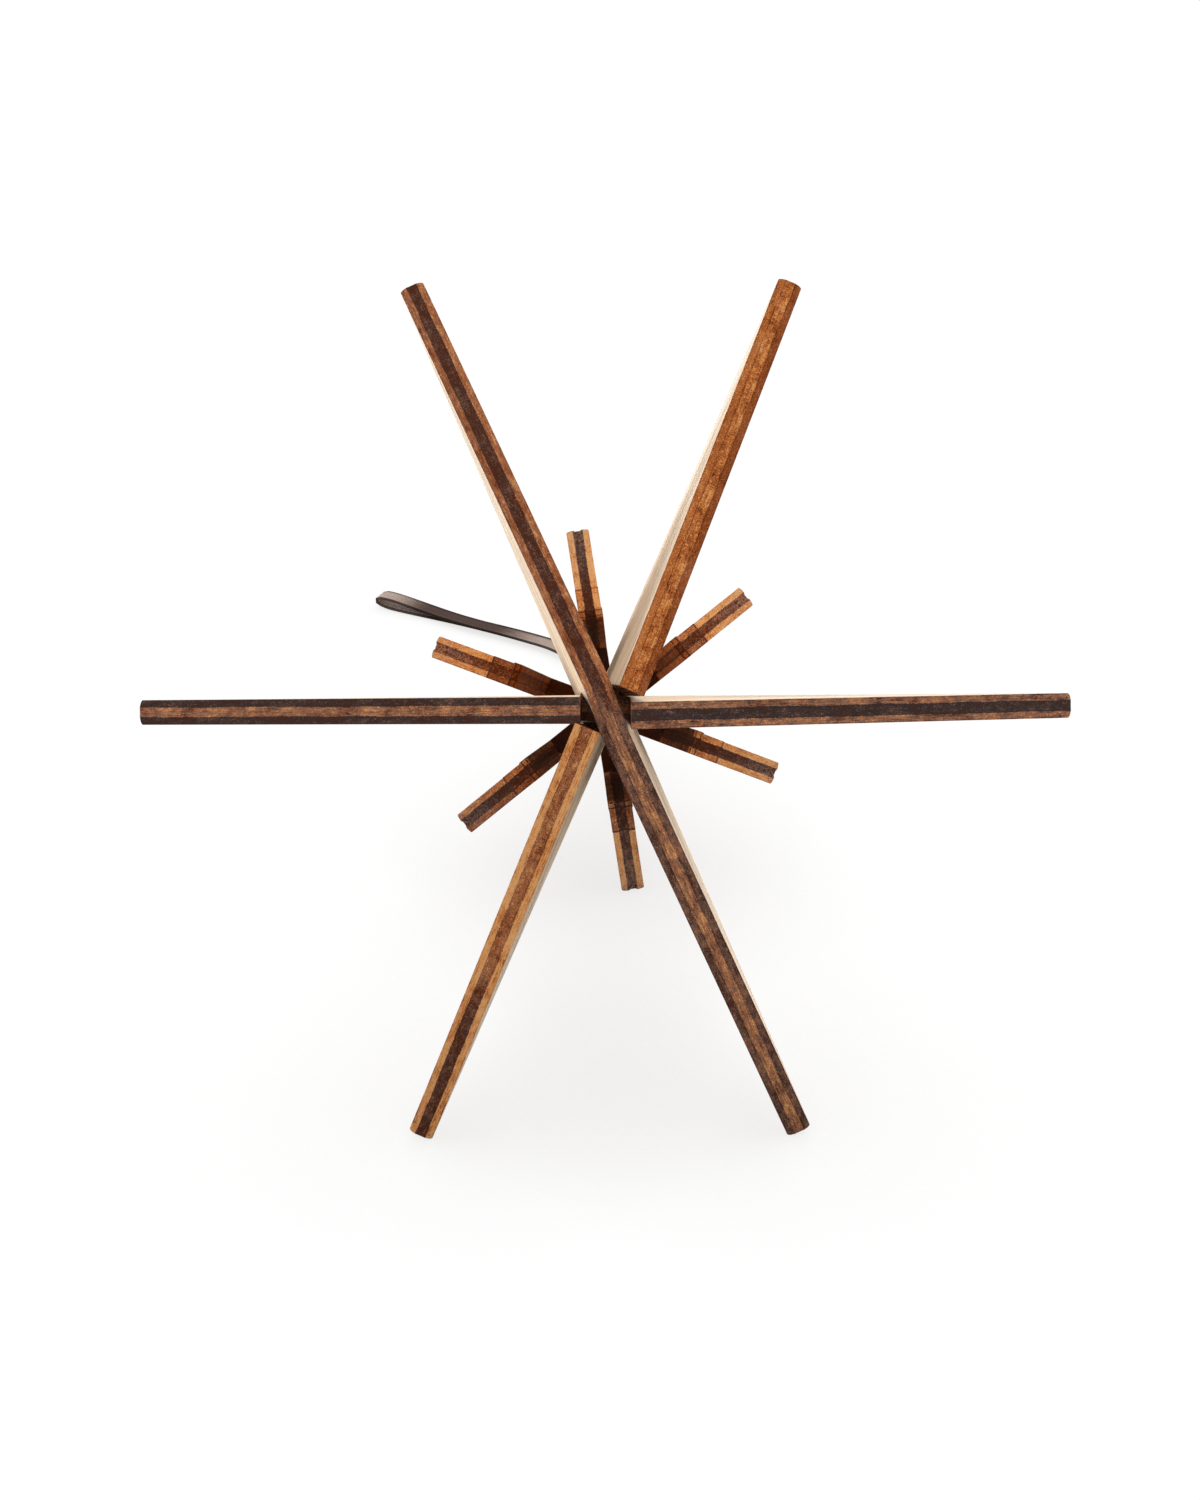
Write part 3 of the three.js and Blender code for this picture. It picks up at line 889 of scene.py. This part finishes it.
def bump_of(place, centre, reach):
    """A smooth hump of 1 at the centre that ends at its reach."""
    away = min(1, abs(place - centre) / reach)
    return (1 - away * away) ** 2


class BAUBLE_OT_finishes(bpy.types.Operator):
    """Makes the plywood and satin finishes"""

    bl_idname = "bauble.finishes"
    bl_label = "Make finishes"
    bl_options = {"REGISTER", "UNDO"}

    def execute(self, context):
        board = context.scene.bauble_board
        scorched_edge(board)
        sanded_veneer(board)
        satin_weave(context.scene.bauble_ribbon)
        return {"FINISHED"}


class BAUBLE_OT_stage(bpy.types.Operator):
    """Sets the white table, the light tent and the camera"""

    bl_idname = "bauble.stage"
    bl_label = "Set stage"
    bl_options = {"REGISTER", "UNDO"}

    def execute(self, context):
        scene, stage = context.scene, context.scene.bauble_stage
        scene.view_settings.view_transform = "Standard"
        deselect_all()
        bpy.ops.mesh.primitive_plane_add(size=stage.table_size, location=(0, 0, 0))
        table = context.active_object
        table.name = "table_top"
        bpy.ops.object.mode_set(mode="EDIT")
        bpy.ops.mesh.subdivide(number_cuts=6)
        bpy.ops.object.mode_set(mode="OBJECT")
        table.data.materials.append(white_table(stage))

        world = bpy.data.worlds.new("light_tent")
        scene.world = world
        tent = Finish(world)
        strength = stage.surround + seen_directly(tent) * (1 - stage.surround)
        sky = tent.node("ShaderNodeBackground", None, {"Color": WHITE, "Strength": strength})
        tent.node("ShaderNodeOutputWorld", None, {0: sky})

        for name, spot, size, power in (
            ("top_lamp", Vector((0, 0.45, 1.05)), 1.0, stage.top_power),
            ("left_lamp", Vector((-1.05, 0.45, 0.5)), 0.8, stage.side_power),
            ("right_lamp", Vector((1.05, 0.45, 0.5)), 0.8, stage.side_power),
            ("front_lamp", POINT - AXIS * 0.9, 0.1, stage.front_power),
        ):
            lamp = bpy.data.lights.new(name, "AREA")
            lamp.energy, lamp.size = power, size
            holder = bpy.data.objects.new(name, lamp)
            scene.collection.objects.link(holder)
            holder.location = spot
            holder.rotation_euler = (-spot).to_track_quat("-Z", "Y").to_euler()

        camera = bpy.data.cameras.new("table_camera")
        camera.lens, camera.sensor_width = stage.lens, 36
        camera.clip_start, camera.clip_end = 0.01, 50
        holder = bpy.data.objects.new("table_camera", camera)
        scene.collection.objects.link(holder)
        back = CAMERA_RIGHT.cross(CAMERA_UP)
        view = Matrix((CAMERA_RIGHT, CAMERA_UP, back)).transposed().to_4x4()
        view.translation = CAMERA_PLACE
        holder.matrix_world = view
        scene.camera = holder
        return {"FINISHED"}


class BAUBLE_OT_ribbon(bpy.types.Operator):
    """Lays the ribbon's loop on the table, ties its knot and slings it through the tab"""

    bl_idname = "bauble.ribbon"
    bl_label = "Tie ribbon"
    bl_options = {"REGISTER", "UNDO"}

    def execute(self, context):
        ribbon = context.scene.bauble_ribbon
        knot = self.tie_knot(ribbon)

        route = smooth_route([KNOT + Vector(p) * MM for p in LOOP_ROUTE], LOOP_STEPS)
        tangents = tangents_of(route)
        loop = woven_band(
            "satin_loop",
            route,
            tangents,
            level_across(tangents),
            ribbon.width,
            ribbon.thickness,
            # painted highlights at two places along the loop
            lambda at: sum(share * bump_of(at, middle, reach) for middle, reach, share in LOOP_PAINTED_GLEAMS),
        )
        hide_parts("ribbon_loop")
        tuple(route[0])

        tab = board_place(CAPS["cap_panel_tab"]["angle"])
        route = smooth_route([tab @ Vector((0, n * MM, s * MM)) for n, s in SLING_ROUTE], SLING_STEPS)
        tangents = tangents_of(route)
        board_width = tab.to_3x3() @ Vector((1, 0, 0))
        sling = woven_band(
            "satin_sling",
            route,
            tangents,
            [board_width] * len(route),
            ribbon.width,
            ribbon.thickness,
            # an even painted sheen on the sling
            lambda at: 0.2,
        )
        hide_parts("ribbon_sling")
        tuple(route[0])
        return {"FINISHED"}

    def tie_knot(self, ribbon):
        """An overhand knot: the bunched ribbon goes three times round in one closed turn."""
        route = []
        for i in range(KNOT_STEPS):
            t = 2 * math.pi * i / KNOT_STEPS
            x = (math.sin(t) + 2 * math.sin(2 * t)) / 3
            z = (math.cos(t) - 2 * math.cos(2 * t)) / 3
            y = KNOT_SHIFT - math.sin(3 * t) * KNOT_LONG
            route.append(KNOT + Vector((x * KNOT_ROUND, y, z * KNOT_ROUND)))
        tangents = tangents_of(route, closed=True)
        widths = []
        for point, tangent in zip(route, tangents):
            out = point - KNOT
            out = (out - tangent * out.dot(tangent)).normalized()
            widths.append(tangent.cross(out).normalized())
        knot = woven_band(
            "satin_knot",
            route,
            tangents,
            widths,
            ribbon.width * 0.6,
            ribbon.thickness * 3.8,
            # an even painted sheen on the knot
            lambda at: 0.15,
            closed=True,
        )
        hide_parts("ribbon_knot")
        return knot


class BAUBLE_OT_wings(bpy.types.Operator):
    """Dresses the three square wing panels"""

    bl_idname = "bauble.wings"
    bl_label = "Dress wings"
    bl_options = {"REGISTER", "UNDO"}

    def execute(self, context):
        settings = context.scene.bauble_board
        for node, board in WINGS.items():
            piece = dress_board(
                node,
                board,
                settings,
                settings.wing_smoke,
                settings.wing_hollow,
                0,
                settings.wing_wear,
                board["grain"],
                wing_scorch(board),
            )
        return {"FINISHED"}


class BAUBLE_OT_caps(bpy.types.Operator):
    """Dresses the three pronged cap panels"""

    bl_idname = "bauble.caps"
    bl_label = "Dress cap"
    bl_options = {"REGISTER", "UNDO"}

    def execute(self, context):
        settings = context.scene.bauble_board
        for node, board in CAPS.items():
            piece = dress_board(
                node,
                board,
                settings,
                settings.cap_smoke,
                settings.cap_hollow,
                settings.cap_corner,
                settings.cap_wear,
                (0, 1),
                cap_scorch(board),
            )
        return {"FINISHED"}


class BAUBLE_PT_sidebar(bpy.types.Panel):
    """Steps and settings of the bauble"""

    bl_idname = "BAUBLE_PT_sidebar"
    bl_label = "Wooden Bauble"
    bl_space_type = "VIEW_3D"
    bl_region_type = "UI"
    bl_category = "Bauble"

    def draw(self, context):
        steps = self.layout.column(align=True)
        for operator in STEPS:
            steps.operator(operator.bl_idname)
        for group in (context.scene.bauble_board, context.scene.bauble_ribbon, context.scene.bauble_stage):
            box = self.layout.box()
            for key in group.__annotations__:
                box.prop(group, key)


STEPS = (BAUBLE_OT_stage, BAUBLE_OT_finishes, BAUBLE_OT_ribbon, BAUBLE_OT_wings, BAUBLE_OT_caps)
GROUPS = {
    "bauble_board": BaubleBoardSettings,
    "bauble_ribbon": BaubleRibbonSettings,
    "bauble_stage": BaubleStageSettings,
}


def register():
    for kind in (*GROUPS.values(), *STEPS, BAUBLE_PT_sidebar):
        bpy.utils.register_class(kind)
    for name, group in GROUPS.items():
        setattr(bpy.types.Scene, name, bpy.props.PointerProperty(type=group))


def unregister():
    for name in GROUPS:
        delattr(bpy.types.Scene, name)
    for kind in reversed((*GROUPS.values(), *STEPS, BAUBLE_PT_sidebar)):
        bpy.utils.unregister_class(kind)


def main():
    register()
    bpy.ops.bauble.stage()
    bpy.ops.bauble.finishes()
    bpy.ops.bauble.ribbon()
    bpy.ops.bauble.wings()
    bpy.ops.bauble.caps()


if __name__ == "__main__":
    main()
